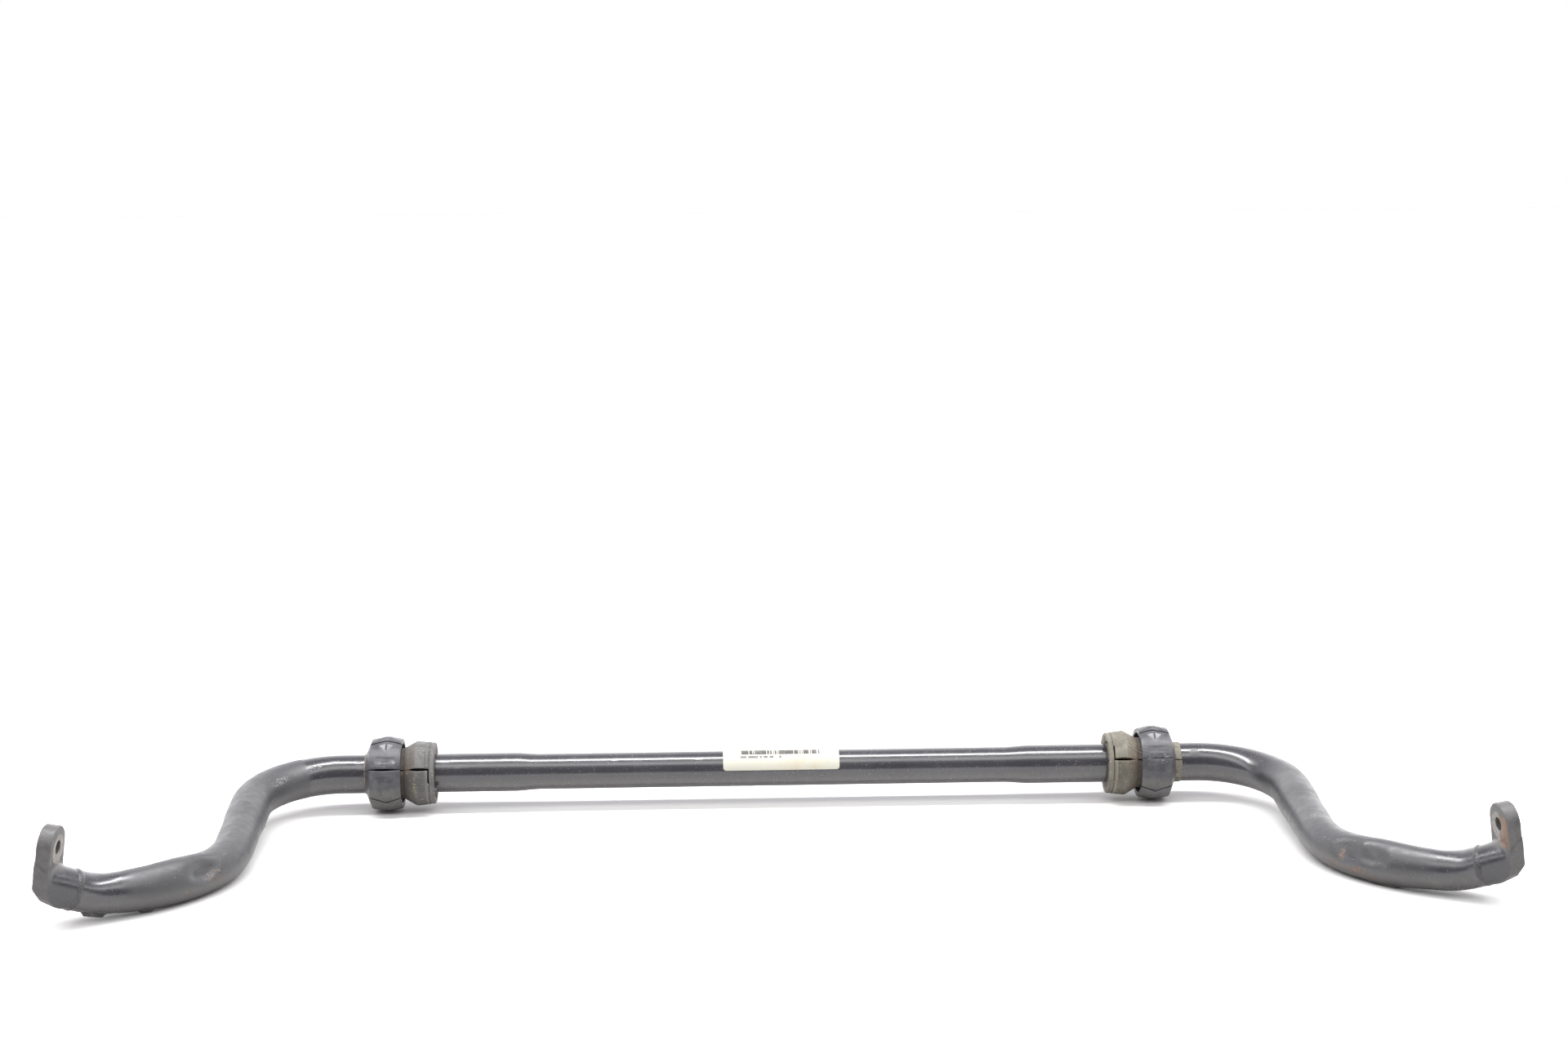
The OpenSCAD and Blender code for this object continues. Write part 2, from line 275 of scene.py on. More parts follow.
def band_faces(rows, columns, wrap_rows=False, wrap_columns=True):
    """Quads over a grid of points, row by row."""
    faces = []
    for i in range(rows if wrap_rows else rows - 1):
        low, high = i * columns, (i + 1) % rows * columns
        for j in range(columns if wrap_columns else columns - 1):
            k = (j + 1) % columns
            faces.append((low + j, low + k, high + k, high + j))
    return faces


def end_caps(rows, columns):
    return [tuple(range(columns))[::-1], tuple(range((rows - 1) * columns, rows * columns))]


def flip_x(points):
    return points * np.array((-1, 1, 1))


# ---------------- the steel bar
def turned(v, axis, angle):
    """v turned about a unit axis by an angle in radians."""
    along = axis * (axis @ v) * (1 - math.cos(angle))
    return v * math.cos(angle) + np.cross(axis, v) * math.sin(angle) + along


def pace(station):
    """Ring spacing: finer on the worn outer half of each arm."""
    return 1.0 if station > ELBOW_START else 2.0


def centreline():
    """Stations, places, headings and up vectors, from the bar's middle to the right cut end."""
    rows = []
    station, place = 0.0, np.zeros(3)
    heading, up, inward = np.array(((1.0, 0, 0), (0, 0, 1.0), (0, -1.0, 0)))
    steps = ((STRAIGHT, *ARM_STEPS[0][1:]), *ARM_STEPS[1:], (TAIL, 0, 0, 0))
    for length, radius, angle, roll in steps:
        count = round(length / pace(station))
        rows += [(station + length * k / count, place + heading * length * k / count, heading, up)
                 for k in range(count)]
        station, place = station + length, place + heading * length
        inward = turned(inward, heading, math.radians(roll))
        axis = np.cross(heading, inward)
        total = math.radians(angle)
        count = round(radius * total / pace(station))
        for k in range(count):
            a = total * k / count
            rows.append((station + radius * a, place + radius * (inward - turned(inward, axis, a)),
                         turned(heading, axis, a), turned(up, axis, a)))
        station += radius * total
        place = place + radius * (inward - turned(inward, axis, total))
        heading, up, inward = (turned(v, axis, total) for v in (heading, up, inward))
    rows.append((station, place, heading, up))
    return [np.array(column) for column in zip(*rows)]


def tube_radius(station):
    """Radius of the round tube, with soft swages."""
    swage = smooth((station - SWAGE_START) / (SWAGE_END - SWAGE_START))
    taper = smooth((station - BEND1_END - TAPER_START) / (TAPER_END - TAPER_START))
    return SPAN_R + (SEAT_R - SPAN_R) * swage + (ARM_R - SEAT_R) * taper


def spot(station, elevation, at_station, at_elevation, half_length, half_width):
    """1 in the middle of an oval on the tube's surface and 0 at its edge. Sizes are in mm."""
    along = (station - at_station) / half_length
    turn = (elevation - at_elevation + 180) % 360 - 180
    across = np.radians(turn) * SEAT_R / half_width
    return np.clip(1 - np.hypot(along, across), 0, 1)


def pressed(side, s, e):
    """Depth of the pressed hollows."""
    depth = 0
    for at, tilt, half_length, half_width, deepest in HOLLOWS[side]:
        oval = smooth(1.3 * spot(s, e, at, tilt, half_length, half_width))
        depth = np.maximum(depth, deepest * oval)
    return depth


def bar_masks(side, s, e):
    """Where the bar is rusty, worn, dusty, grimy or covered by the satin film, and its underside.

    The wear mask also holds a painted highlight, the grime mask painted shade in the pressed
    hollows, and the underside takes painted light from the bright floor.
    """
    masks = {name: np.zeros_like(s) for name in ("rust", "wear_and_highlight", "dust", "grime_and_hollow_shade")}
    for name, at, tilt, half_length, half_width, strength in MARKS[side]:
        mark = strength * np.minimum(1, 1.8 * spot(s, e, at, tilt, half_length, half_width))
        masks[name] = np.maximum(masks[name], mark)
    start, soft, strength, left_over = SATIN[side]
    fading = 1 - (1 - left_over) * smooth((s - SATIN_END) / SATIN_FADE)
    masks["satin"] = strength * smooth((s - start) / soft) * fading * (1 - 0.8 * masks["grime_and_hollow_shade"])
    # The underside, which the paint lightens as painted light from the floor
    masks["under"] = smooth((0.05 - np.sin(np.radians(e))) / 0.45)
    return masks


def bar_surface(side, stations, places, headings, ups, columns):
    """Grid of points on one half of the bar, and its masks. Both halves are built on the right."""
    elevation = np.arange(columns) * 360.0 / columns
    s, e = np.meshgrid(stations, elevation, indexing="ij")
    rise, front = np.sin(np.radians(e)), np.cos(np.radians(e))
    fronts = np.cross(headings, ups)
    normal = front[..., None] * fronts[:, None] + rise[..., None] * ups[:, None]
    radius = tube_radius(s)
    # The second bend was pressed flat at front and back, and its top rose
    press = bump(s - PRESS_AT, PRESS_REACH)
    radius = radius + press * (PRESS_RISE * np.clip(rise, 0, 1) ** 3 - PRESS_FLAT * front ** 2)
    radius = radius - pressed(side, s, e)
    # The arms are uneven, and the span is nearly true
    at_noise = places[:, None] + normal * radius[..., None] + SIDES[side] * NOISE_APART
    arm = smooth((s - BEND1_END) / 60)
    radius = radius + arm * (0.22 * lumps(at_noise, 17, 3) + 0.10 * lumps(at_noise, 6, 4))
    radius = radius - (1 - arm) * 0.03 * (1 + lumps(at_noise, 25, 5))
    ragged = lumps(at_noise, 2.2, 6)
    for at, tilt, half_length, half_width, height in DRIPS[side]:
        edge = spot(s, e, at, tilt, half_length, half_width) + 0.18 * ragged
        radius = radius + height * smooth((edge - 0.12) / 0.25)
    return places[:, None] + normal * radius[..., None], bar_masks(side, s, e)


def add_bar(material):
    """The whole steel tube as one skin, from the left cut end to the right one."""
    path = centreline()
    columns = 96
    right, right_masks = bar_surface("right", *path, columns)
    left, left_masks = bar_surface("left", *path, columns)
    # The left half is read backwards, without the ring that it shares with the right half
    points = np.concatenate((flip_x(left)[:0:-1], right))
    masks = {name: np.concatenate((left_masks[name][:0:-1], right_masks[name])) for name in right_masks}
    points[..., 2] = np.maximum(points[..., 2], FLOOR_Z + 0.02)
    faces = band_faces(len(points), columns) + end_caps(len(points), columns)
    make_piece("bar_skin", points.reshape(-1, 3), faces, "bar", ["bar_tube"], material,
               masks)
    return path


# ---------------- forged link eyes and welds
def add_weld(side, end, heading, material):
    """Bead round the joint of tube and forging, with the ripples that the torch left."""
    around, across = 200, 18
    turn = np.arange(around) / around * 2 * math.pi
    a, t = np.meshgrid(turn, np.linspace(0, 1, across), indexing="ij")
    wander = 0.45 * np.sin(2 * a + 0.7) + 0.25 * np.sin(5 * a)
    ripple = 0.12 * np.sin(46 * a - 20 * (t - 0.5) ** 2)
    height = (WELD_H + 0.25 * np.sin(3 * a + SIDES[side]) + ripple) * np.sin(math.pi * t) ** 0.8
    radius = ARM_R - 0.3 + height
    along = WELD_LEN * (t - 0.5) + wander
    low = np.stack((along[:, ::-1][:, 1:-1], np.full((around, across - 2), ARM_R - 0.9)), -1)
    ring = np.concatenate((np.stack((along, radius), -1), low), 1)
    count = ring.shape[1]
    side_way = unit(np.cross(heading, (0, 0, 1.0)))
    rise = np.cross(side_way, heading)
    spoke = np.cos(a[:, :1])[..., None] * side_way + np.sin(a[:, :1])[..., None] * rise
    points = end + ring[..., :1] * heading + ring[..., 1:] * spoke
    if side == "left":
        points = flip_x(points)
    make_piece(f"{side}_weld_bead", points.reshape(-1, 3), band_faces(around, count, wrap_rows=True),
               "bar", [f"{side}_end_weld"], material, sharp=60)


def zero_surface(field):
    """Points, in grid steps, and quads of the surface where a gridded field crosses zero."""
    size = np.array(field.shape) - 1
    total = np.zeros((*size, 3))
    weight = np.zeros(size)
    for axis in range(3):
        for offset in np.ndindex(*(1 if k == axis else 2 for k in range(3))):
            low = tuple(slice(o, o + n) for o, n in zip(offset, size))
            high = tuple(slice(o + (k == axis), o + (k == axis) + n)
                         for k, (o, n) in enumerate(zip(offset, size)))
            a, b = field[low], field[high]
            crossed = (a < 0) != (b < 0)
            share = np.where(crossed, a / np.where(crossed, a - b, 1), 0)
            for k in range(3):
                total[..., k] += crossed * (share if k == axis else offset[k])
            weight += crossed
    used = weight > 0
    index = np.full(size, -1)
    index[used] = np.arange(used.sum())
    points = np.argwhere(used) + total[used] / weight[used][:, None]
    quads = []
    for axis in range(3):
        step = np.eye(3, dtype=int)[axis]
        near = field[tuple(slice(1 - s, -1) for s in step)]
        far = field[tuple(slice(1, -1) if not s else slice(1, None) for s in step)]
        at = np.argwhere((near < 0) != (far < 0)) + 1 - step
        b, c = (np.eye(3, dtype=int)[k] for k in range(3) if k != axis)
        ring = [index[tuple((at - shift).T)] for shift in (b + c, c, 0 * b, b)]
        quads += np.stack(ring, 1).tolist()
    return points, quads


def soft_min(a, b, blend):
    h = np.clip(0.5 + 0.5 * (b - a) / blend, 0, 1)
    return b + (a - b) * h - blend * h * (1 - h)


def soft_max(a, b, blend):
    return -soft_min(-a, -b, blend)


def beyond(outline, u, w):
    """How far a place lies outside a convex outline, which is given as [u, w] points."""
    away = -1000.0
    for (u0, w0), (u1, w1) in zip(outline, outline[1:]):
        distance = ((u - u0) * (w0 - w1) + (w - w0) * (u1 - u0)) / math.hypot(u1 - u0, w1 - w0)
        away = soft_max(away, distance, 1.0)
    return away


def eye_axes():
    """The plate's own axes: down the plate, backwards across it, and outwards through the hole."""
    lean, toe = math.radians(EYE_LEAN), math.radians(EYE_TOE)
    level, rise = np.array((math.cos(toe), math.sin(toe), 0)), np.array((0, 0, 1.0))
    down = math.sin(lean) * level - math.cos(lean) * rise
    outward = math.cos(lean) * level + math.sin(lean) * rise
    return np.array((down, (-math.sin(toe), math.cos(toe), 0), outward))


def eye_plate(u, v, w):
    """Distance outside the plate, whose edges are rounded and whose lower corner is cut off."""
    edge = 1.4
    outline = np.where(u < 0, np.hypot(u, v), np.abs(v)) - EYE_R
    flat = np.maximum(outline, u - PLATE_DROP) + edge
    thick = np.abs(w) - EYE_T / 2 + edge
    inside = np.minimum(np.maximum(flat, thick), 0)
    outside = np.hypot(np.maximum(flat, 0), np.maximum(thick, 0))
    return soft_max(inside + outside - edge, beyond(PLATE_CUT, u, w), 1.0)


def eye_stub(u, v, w, reach, radial):
    """Distance outside the round stub. It swells under the plate, where the die left more metal."""
    swell = 1.8 * bump(reach - 9, 12) * np.clip((u - 34) / 12, 0, 1)
    stub = soft_max(radial - ARM_R - swell, w - EYE_T / 2 + 1.2, 2.0)
    stub = np.maximum(stub, -EYE_R + 0.6 - v)
    stub = soft_max(stub, beyond(STUB_CUT, u, w), 1.0)
    return np.maximum(stub, reach - 40)


def eye_masks(side, u, v, w):
    """Bare metal and rust round the hole, and the gloss that is left below it."""
    face = -EYE_T / 2
    inner = smooth((face + 1.2 - w) / 0.8) * smooth((24 - u) / 4)
    streak = inner * smooth((u + 13) / 8) * smooth((18 - u) / 5) * smooth((-0.5 - v) / 5)
    bare_from = -14 if side == "left" else -5
    bare = smooth((12.5 - np.hypot(u - 1.5, v)) / 2.5) * smooth((v - bare_from) / 4)
    return {
        "bare": inner * bare,
        "rust": streak if side == "right" else 0.35 * streak,
        "gloss": smooth((face + 1.0 - w) / 3) * smooth((u - 14) / 4),
    }


def add_eye(side, end, heading, material):
    """Forged eye: a flat plate with a round end, a bored hole and a round stub towards the tube."""
    axes = eye_axes()
    low, high = np.array((-17.5, -17.5, -31.0)), np.array((53.0, 29.0, 7.0))
    grid = np.meshgrid(*(np.arange(a, b, GRID_STEP) for a, b in zip(low, high)), indexing="ij")
    u, v, w = grid
    p = np.stack(grid, -1)
    start, run = axes @ (end - EYE_AT), axes @ heading
    reach = (p - start) @ run
    radial = np.linalg.norm(p - start - reach[..., None] * run, axis=-1)
    # Nothing of the forging reaches back over the tube
    cut_end = -0.2 - reach
    stub = np.maximum(eye_stub(u, v, w, reach, radial), cut_end)
    body = soft_min(eye_plate(u, v, w), stub, EYE_BLEND)
    body = np.where(w < -8, np.maximum(body, cut_end), body)
    # A rough forged skin, which the tool took off round the hole
    skin = 0.16 * (1 + lumps(p, 7, 11)) + 0.07 * (1 + lumps(p, 2.5, 12))
    skin = skin * (1 - 0.65 * smooth((-EYE_T / 2 - w) / 2))
    from_hole = np.hypot(u, v)
    machined = smooth((13.5 - from_hole) / 2) * (w < 0)
    body = np.maximum(body + skin * (1 - machined), HOLE_R - from_hole)
    spots, quads = zero_surface(body)
    local = low + spots * GRID_STEP
    points = EYE_AT + local @ axes
    if side == "left":
        points = flip_x(points)
    masks = eye_masks(side, *local.T)
    make_piece(f"{side}_eye_forging", points, quads, "bar", [f"{side}_link_eye"],
               material, masks)


# ---------------- bushes
def ring_piece(side, name, node, outline, rows, shape, material, masks=None, sharp=35):
    """A ring about the bar, or part of one, whose section is the outline of [along, radius] points.

    Rows are angles in degrees from the split, in the direction in which the bush's leg points.
    shape moves the grid of [along, radius, angle, elevation above the front].
    """
    closed = abs(rows[-1] - rows[0]) > 359.9
    if closed:
        rows = rows[:-1]
    angle, along = np.meshgrid(rows, outline[:, 0], indexing="ij")
    radius = np.repeat(outline[None, :, 1], len(rows), 0)
    elevation = SPLIT + SIDES[side] * angle
    along, radius, shift = shape(along, radius, angle, elevation)
    e = np.radians(elevation + SIDES[side] * shift)
    points = np.stack((SIDES[side] * (BUSH_X + along), -radius * np.cos(e), radius * np.sin(e)), -1)
    faces = band_faces(len(rows), len(outline), wrap_rows=closed)
    if not closed:
        faces += end_caps(len(rows), len(outline))
    values = {mask: f(along, angle, np.degrees(e)) for mask, f in (masks or {}).items()}
    make_piece(f"{side}_{name}", points.reshape(-1, 3), faces, f"{side}_bush",
               [f"{side}_{node}"], material, values, sharp)


def spaced(breaks, step):
    """Values from the first break to the last, through each break, at most a step apart."""
    values = []
    for a, b in zip(breaks, breaks[1:]):
        values += list(np.linspace(a, b, max(1, math.ceil(abs(b - a) / step)), endpoint=False))
    return np.array(values + [breaks[-1]])


def half_name(side, leading):
    """The half on the leg's side of the split is the upper one only on the right bush."""
    return "upper" if leading == (side == "right") else "lower"


def to_split(angle):
    """Degrees to the nearer split: the one at the front, or the one opposite it at the back."""
    return np.minimum(np.abs(angle), 180 - np.abs(angle))


def wing_rise(away, end):
    """Height of a wing, from 0 to 1: a slow rise and a steep end."""
    return np.clip((away - WING_START) / 12, 0, 1) * smooth(end - away)


def ring_noise(along, angle, elevation, size, seed):
    """Noise from 0 to 2 over a ring, for a skin that is only ever lowered."""
    return 1 + lumps(np.stack((along, angle, elevation), -1), size, seed)


def crown_relief(along, away, above):
    """Height over the shoulder: the ridge beyond the chevron, a wing, a groove and a pocket."""
    ridged = smooth((away - CHEVRON) / 0.6)
    ridge = RIDGE_H * (1 - np.minimum(1, np.abs(along) / np.where(along < 0, 11.8, 13.0)))
    ridge = 0.45 + ridge * np.clip((away - CHEVRON) / 8, 0, 1)
    rise = wing_rise(away, WING_END) * above
    reach = 1.4 + 5.2 * rise
    wing = 1.5 * rise * smooth((reach - np.abs(along)) / 0.9) * smooth(np.abs(along) / 0.6 - 0.6)
    groove = 0.5 * bump(away - CHEVRON + 0.5, 1.3)
    pocket = 0.35 * smooth(1.6 * bump(away - 16, 8)) * smooth(2.5 * bump(along - 0.5, 10.5))
    return ridged * ridge + wing * (1 - ridged) - groove - pocket


def crown_masks(side):
    """Scuffs, painted wing highlights, painted shade in grooves and pocket, and a lighter tone below.
    """
    def scuffed(along, angle, e):
        """Pale scuffs in a row above the split, and a rough patch below it on the right bush."""
        high, first_at, second_at = SCUFFS[side]
        pair = bump(along - first_at, 6.5) + bump(along - second_at, 5.5)
        patch = 0.42 * bump(e - SPLIT + 4.5, 8) * bump(along - 2, 13) * (side == "right")
        return 0.75 * bump(e - SPLIT - high, 7) * pair + patch

    def wing_highlight(along, angle, e):
        """Painted highlight on the wings' tops."""
        away, end = to_split(angle), WING_END + 0.5
        rise = wing_rise(away, end)
        edge = smooth(1.6 + 5.2 * rise - np.abs(along)) * smooth(np.abs(along) / 0.6 - 0.5)
        return (0.35 + 0.65 * rise) * edge * (away > WING_START - 1) * (away < end) * (e > SPLIT)

    def groove_shade(along, angle, e):
        """Painted shade in each chevron groove, with a fainter dark line beside it below the split."""
        away = to_split(angle)
        return bump(away - CHEVRON + 0.5, 2.2) + 0.5 * bump(away - 61, 1.8) * (e < SPLIT)

    def dark(along, angle, e):
        """Painted shade in the pocket below the split."""
        return smooth(1.6 * bump(SPLIT - e - 16, 8)) * smooth(2 * bump(along, 11))

    # Lighter and browner towards the bottom of the ring
    def dusty(along, angle, e):
        return smooth((SPLIT - 22 - e) / 20)

    return {"scuff": scuffed, "wing": wing_highlight, "line": groove_shade, "dark": dark, "dust": dusty}


def add_crown_half(side, leading, material):
    """Half of the crown ring: plain near the split, ridged beyond a chevron, with two small wings."""
    outline = rounded([(CROWN_IN, SHELL_IN_R), (CROWN_IN, SHOULDER_R - 0.4),
                       (CROWN_IN + 0.8, SHOULDER_R), (CROWN_SHOULDER, SHOULDER_R),
                       (CROWN_SHOULDER + 2, SHOULDER_R - 4), (CROWN_OUT, SHELL_END_R),
                       (CROWN_OUT - 1.5, SHELL_END_R), (CROWN_SHOULDER - 0.8, SHELL_IN_R)], 0.5, 0.6)
    first = math.degrees(HALF_GAP[side] / SHOULDER_R)
    chevron = [CHEVRON + step for step in (-1.6, -0.8, -0.2, 0.2, 0.6, 1.4)]
    quarter = [first, first + 1.2, WING_END - 1, WING_END, *chevron, 61, 90]
    rows = spaced(quarter + [180 - q for q in quarter[-2::-1]], 1.0)
    if not leading:
        rows = -rows

    def shape(along, radius, angle, elevation):
        away = to_split(angle)
        outer = smooth(radius - 27)
        round_over = 0.5 * np.clip(1 - (away - first) / 1.2, 0, 1) ** 2
        radius = radius + outer * crown_relief(along, away, elevation > SPLIT)
        radius = np.minimum(radius - round_over * (radius > 26), RIDGE_R)
        radius = radius - outer * 0.06 * ring_noise(along, angle, elevation, 5, 21)
        # The chevron line leans away from the split at the middle of the ring
        lean = (8 - np.minimum(np.abs(along), 12.0)) * bump(away - 56, 36)
        open_more = 0.6 * bump(along - 1, 14) * bump(away - first, 10) * (side == "left")
        shift = (lean + np.degrees(open_more / SHOULDER_R)) * np.sign(angle)
        return along, radius, np.where(np.abs(angle) > 90, -shift, shift)

    half = "crown_" + half_name(side, leading)
    ring_piece(side, half + "_shell", half, outline, rows, shape, material,
               crown_masks(side), 28)


def cone_ribs(side, along, elevation):
    """Three slanted ribs at the top front of the neck and the collar's cone."""
    height = 0
    for middle in RIBS[side]:
        centre = middle - 1.2 * (along + 14)
        height = height + bump(elevation - centre, 3.4)
    return height * smooth((along + 24) / 2) * smooth((-9 - along) / 2)


def collar_masks(side):
    """Where the collar is brown, coned, rubbed pale, shaded or stained yellow."""
    return {
        "slit": lambda along, angle, e: bump(e - SPLIT, 16) * smooth((along + 25) / 6),
        "cone": lambda along, angle, e: smooth((along + 25.5) / 5),
        "rib": lambda along, angle, e: (cone_ribs(side, along, e)
                                        + bump(along + 33.5, 1.6) * (e < SPLIT - 2)),
        # Painted shade below the split
        "under": lambda along, angle, e: smooth((SPLIT - e) / 8) * smooth((e + 100) / 30),
        "yellow": lambda along, angle, e: (0.55 * bump(along + 23.5, 4) * bump(e + 14, 34)
                                           * (side == "left")),
    }


def add_collar_half(side, leading, material):
    """Half of the collar: cone towards the neck, slit, and a seam leg or a light rib at its end."""
    outline = rounded([(COLLAR_END, COLLAR_IN_R), (COLLAR_END, COLLAR_FACE_R), (COLLAR_EDGE, COLLAR_R),
                       (COLLAR_ROOT, COLLAR_IN_R + 0.8), (COLLAR_ROOT, COLLAR_IN_R)], 0.7, 0.6)
    rows = spaced([0.3, 1.2, 2.5, 26, 27.5, 34, 36, 38, 90, 179.4], 1.2)
    if not leading:
        rows = -rows

    def shape(along, radius, angle, elevation):
        outer = smooth((radius - COLLAR_IN_R - 0.4) / 0.5)
        turn = np.abs(angle)
        slit = 1.15 * smooth((-17.5 - along) / 4) * (0.45 + 0.55 * bump(along + 27, 11))
        slit = slit * (turn < 90) * bump(turn, 9)
        height = 0.9 * cone_ribs(side, along, elevation) * outer
        height = height - 0.35 * np.clip(1 - to_split(angle) / 1.4, 0, 1) ** 2
        if leading:
            leg = smooth((27.5 - turn) / 1.5) * smooth((-34.0 - along) / 1.2)
            along = along + 1.1 * leg
        else:
            rib = smooth((turn - 1.5) / 1.5) * smooth((35 - turn) / 1.5) * bump(along + 33.2, 1.7)
            hook = smooth(turn - 34) * smooth(38 - turn) * smooth((-30.2 - along) / 0.8)
            height = height + outer * (0.65 * smooth(2 * rib) + 0.6 * hook * smooth(along + 35))
        height = height - 0.10 * ring_noise(along, angle, elevation, 6, 23) * outer
        return along, radius + height, np.degrees(slit / 25) * np.sign(angle)

    half = "collar_" + half_name(side, leading)
    ring_piece(side, half + "_shell", half, outline, rows, shape, material,
               collar_masks(side), 30)


def add_stop_ring(side, material):
    """Plain ring at the bush's inboard end, with its locating tab."""
    outer_r = COLLAR_FACE_R - 0.3
    outline = rounded([(RING_END, COLLAR_IN_R), (RING_END, outer_r - 0.6), (RING_END + 0.6, outer_r),
                       (BAND_OUT, outer_r), (BAND_OUT, COLLAR_IN_R)], 0.3, 0.45)
    flank = 0.6
    rows = spaced([0, TAB_START, TAB_START + flank, TAB_END - flank, TAB_END, 360], 1.5)

    def shape(along, radius, angle, elevation):
        tab = smooth((angle - TAB_START) / flank) * smooth((TAB_END - angle) / flank)
        tab = tab * smooth((radius - COLLAR_IN_R - 0.3) / 0.4) * smooth((outer_r - 0.4 - radius) / 0.4)
        tab = tab * (along < RING_END + 0.1)
        rough = 0.08 * ring_noise(along, angle, elevation, 5, 25)
        return along - 2.4 * tab, radius - rough * (radius > 22), 0

    masks = {"tab": lambda along, angle, e: smooth((-39.5 - along) / 0.5)}
    ring_piece(side, "stop_band", "stop_ring", outline, rows, shape, material, masks)


def add_rubber(side, material):
    """Rubber body: a neck with slanted ribs and a thicker part that the crown ring holds."""
    body_in, body_out = CROWN_IN + 6, CROWN_SHOULDER - 1
    outline = rounded([(RING_END, RUBBER_IN_R), (RING_END, NECK_R), (body_in, NECK_R),
                       (body_in, RUBBER_R), (body_out, RUBBER_R), (CROWN_OUT - 2, RUBBER_END_R),
                       (CROWN_OUT, RUBBER_END_R), (CROWN_OUT, RUBBER_IN_R)], 0.25, 0.8)
    rows = spaced([1.5, 60, 358.5], 1.6)

    def shape(along, radius, angle, elevation):
        neck = (radius > NECK_R - 0.4) * (radius < NECK_R + 0.3)
        return along, radius + 1.2 * cone_ribs(side, along, elevation) * neck, 0

    masks = {
        "slit": lambda along, angle, e: bump(e - SPLIT, 30),
        "rib": lambda along, angle, e: cone_ribs(side, along, e),
        # Painted shade below the split
        "under": lambda along, angle, e: smooth((SPLIT - 6 - e) / 10),
    }
    ring_piece(side, "rubber_body", "bush_rubber", outline, rows, shape, material,
               masks)


def add_liner(side, material):
    """Thin sleeve between rubber and bar, which shows just outside the crown ring."""
    out = LINER_OUT[side]
    outline = rounded([(RING_END, LINER_IN_R), (RING_END, LINER_R), (out, LINER_R),
                       (out, LINER_IN_R)], 0.12, 1.2)
    rows = spaced([1.5, 358.5], 2.0)

    def shape(along, radius, angle, elevation):
        frayed = 0.35 * lumps(np.stack((angle / 4, along, elevation), -1), 3, 27)
        return along + (frayed - 0.35) * smooth((along - out + 1.5) / 1.2), radius, 0

    ring_piece(side, "liner_sleeve", "bush_liner", outline, rows, shape, material)


# ---------------- label
def add_label(material):
    """Thin paper wrapped over the top of the span, with rounded corners."""
    low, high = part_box("part_label")
    middle, length = 500 * (low.x + high.x), 1000 * (high.x - low.x)
    rows, columns = 70, 120
    v, u = np.meshgrid(np.linspace(0, 1, rows), np.linspace(-1, 1, columns), indexing="ij")
    arc = LABEL_H * v
    in_corner = np.maximum(0, LABEL_CORNER - np.minimum(arc, LABEL_H - arc))
    inset = LABEL_CORNER - np.sqrt(LABEL_CORNER ** 2 - in_corner ** 2)
    x = middle + u * (length / 2 - inset)
    e = np.radians(LABEL_LOW) + arc / SPAN_R
    lift = 0.03 * (1 + lumps(np.stack((x, arc, np.zeros_like(x)), -1), 9, 31))
    sheets = []
    for radius in (SPAN_R + 0.16 + lift, SPAN_R + 0.01):
        sheets.append(np.stack((x, -radius * np.cos(e), radius * np.sin(e)), -1))
    points = np.concatenate([sheet.reshape(-1, 3) for sheet in sheets])
    faces = band_faces(rows, columns, wrap_columns=False)
    count = rows * columns
    faces += [tuple(i + count for i in reversed(face)) for face in faces]
    rim = list(range(columns)) + [i * columns + columns - 1 for i in range(1, rows)]
    rim += [count - 1 - j for j in range(1, columns)] + [i * columns for i in range(rows - 2, 0, -1)]
    faces += [(a, a + count, b + count, b) for a, b in zip(rim, rim[1:] + rim[:1])]
    masks = {"across": np.concatenate(((u + 1) / 2,) * 2), "around": np.concatenate((v, v))}
    make_piece("label_paper", points, faces, "bar", ["part_label"], material, masks)


# ---------------- materials
class Nodes:
    """A node tree, and short ways to add to it."""

    def __init__(self, tree, shader=None):
        self.tree, self.shader = tree, shader

    def feed(self, socket, value, node=None):
        target = (node or self.shader).inputs[socket]
        if isinstance(value, bpy.types.NodeSocket):
            self.tree.links.new(value, target)
        else:
            target.default_value = value

    def node(self, kind, inputs, **settings):
        node = self.tree.nodes.new("ShaderNode" + kind)
        for setting, value in settings.items():
            setattr(node, setting, value)
        for socket, value in inputs.items():
            self.feed(socket, value, node)
        return node

    def calc(self, operation, a, b=0.0):
        return self.node("Math", {0: a, 1: b}, operation=operation).outputs[0]


